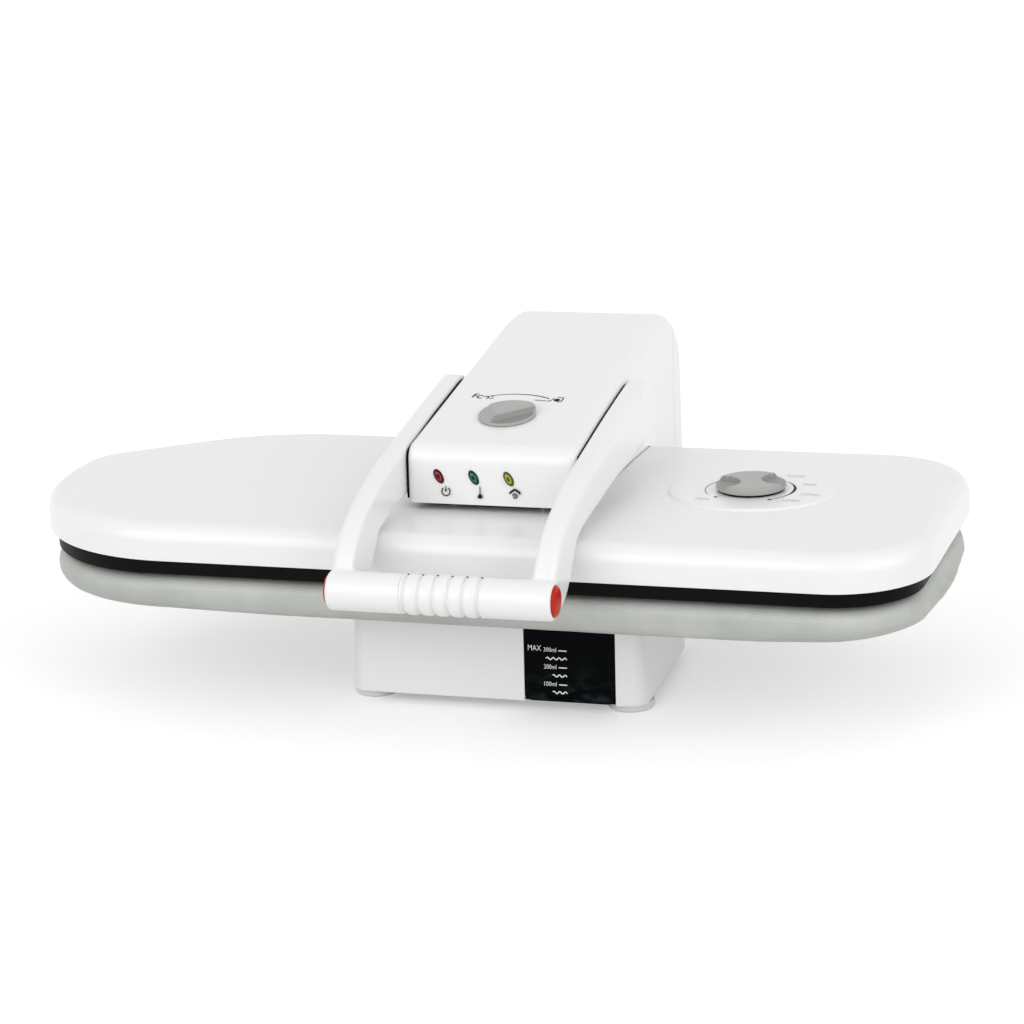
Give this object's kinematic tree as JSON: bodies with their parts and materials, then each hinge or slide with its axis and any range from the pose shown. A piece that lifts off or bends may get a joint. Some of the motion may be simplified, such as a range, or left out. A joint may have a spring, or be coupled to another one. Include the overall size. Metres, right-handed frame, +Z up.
{
  "type": "steam_ironing_press",
  "caption": "Table-top steam ironing press with a hinged heated plate over a padded board, a lever handle with steam buttons, and a pull-out water tank in the base",
  "frame": {"origin": "on the floor under the middle of the whole press", "axes": "+X along the plates to the right, +Y to the hinge at the back, +Z up"},
  "size_m": [0.6388, 0.4196, 0.2181],
  "materials": {
    "white_plastic": "smooth, lightly glossy",
    "black_plastic": "fine matte",
    "grey_plastic": "satin",
    "red_plastic": "glossy",
    "smoked_plastic": "dark translucent look, glossy",
    "silver_fabric": "silver-coated woven cloth",
    "foam": "open foam",
    "zinc_steel": "zinc plated",
    "cast_aluminium": "machined casting",
    "brass_fittings": "turned",
    "dark_rubber": "matte",
    "pale_rubber": "matte",
    "silicone_hose": "milky",
    "circuit_board": "solder mask",
    "lens_red": "glossy",
    "lens_green": "glossy",
    "lens_yellow": "glossy"
  },
  "bodies": {
    "base": {"base_shell": "white_plastic", "base_bottom": "black_plastic", "foot_front_left": "pale_rubber", "foot_front_right": "pale_rubber", "foot_back_left": "pale_rubber", "foot_back_right": "pale_rubber", "tank_bay": "black_plastic", "tank_coupler": "grey_plastic", "water_pump": "dark_rubber", "suction_hose": "silicone_hose", "feed_hose": "silicone_hose", "hose_swivel": "brass_fittings", "control_board": "circuit_board", "power_inlet": "black_plastic", "tower_cheek_left": "zinc_steel", "tower_cheek_right": "zinc_steel", "tower_shell": "white_plastic", "tower_cover": "white_plastic", "hinge_bushing_left": "brass_fittings", "hinge_bushing_right": "brass_fittings", "lift_spring_left": "zinc_steel", "lift_spring_right": "zinc_steel", "board_bracket": "zinc_steel", "board_tray": "zinc_steel", "board_pad": "foam", "board_cover": "silver_fabric"},
    "tank": {"water_tank": "smoked_plastic", "tank_lid": "smoked_plastic"},
    "plug": {"filler_plug": "dark_rubber"},
    "head": {"hinge_shaft": "zinc_steel", "head_arm_left": "zinc_steel", "head_arm_right": "zinc_steel", "cross_plate": "zinc_steel", "yoke_front": "zinc_steel", "yoke_rear": "zinc_steel", "heat_plate": "cast_aluminium", "heating_element": "zinc_steel", "steam_generator": "cast_aluminium", "plate_thermostat": "zinc_steel", "plate_hose": "silicone_hose", "insulating_ring": "black_plastic", "plate_cover": "white_plastic", "head_shell": "white_plastic", "rear_cover": "white_plastic", "steam_selector": "black_plastic", "indicator_board": "circuit_board", "lens_power": "lens_red", "lens_heat": "lens_green", "lens_steam": "lens_yellow", "pivot_pin_left": "zinc_steel", "pivot_pin_right": "zinc_steel"},
    "handle": {"handle_frame": "white_plastic", "button_spring_left": "zinc_steel", "button_spring_right": "zinc_steel"},
    "button_left": {"steam_button_left": "red_plastic"},
    "button_right": {"steam_button_right": "red_plastic"},
    "selector_knob": {"panel_knob": "grey_plastic"},
    "heat_knob": {"thermostat_knob": "grey_plastic"}
  },
  "joints": [
    {"name": "head_hinge", "type": "hinge", "parent": "base", "child": "head", "pos_m": [0.01985, 0.15035, 0.155], "axis": [-1, 0, 0], "range_deg": [0, 45]},
    {"name": "handle_pivot", "type": "hinge", "parent": "head", "child": "handle", "pos_m": [0.01985, 0.04635, 0.178], "axis": [-1, 0, 0], "range_deg": [0, 30]},
    {"name": "steam_button_left_press", "type": "slide", "parent": "handle", "child": "button_left", "axis": [1, 0, 0], "range_m": [0, 0.0015], "stiffness_N_per_m": 400, "springref_m": -0.002},
    {"name": "steam_button_right_press", "type": "slide", "parent": "handle", "child": "button_right", "axis": [-1, 0, 0], "range_m": [0, 0.0015], "stiffness_N_per_m": 400, "springref_m": -0.002},
    {"name": "panel_knob_turn", "type": "hinge", "parent": "head", "child": "selector_knob", "pos_m": [0.01535, -0.02765, 0.18922], "axis": [0, -0.1628, 0.9867], "range_deg": [-270, 0]},
    {"name": "thermostat_knob_turn", "type": "hinge", "parent": "head", "child": "heat_knob", "pos_m": [0.18085, -0.00795, 0.142], "axis": [0, 0, 1], "range_deg": [-270, 0]},
    {"name": "tank_slide", "type": "slide", "parent": "base", "child": "tank", "axis": [0, -1, 0], "range_m": [0, 0.11]},
    {"name": "filler_plug_lift", "type": "slide", "parent": "tank", "child": "plug", "axis": [0, 0, 1], "range_m": [0, 0.005]}
  ]
}
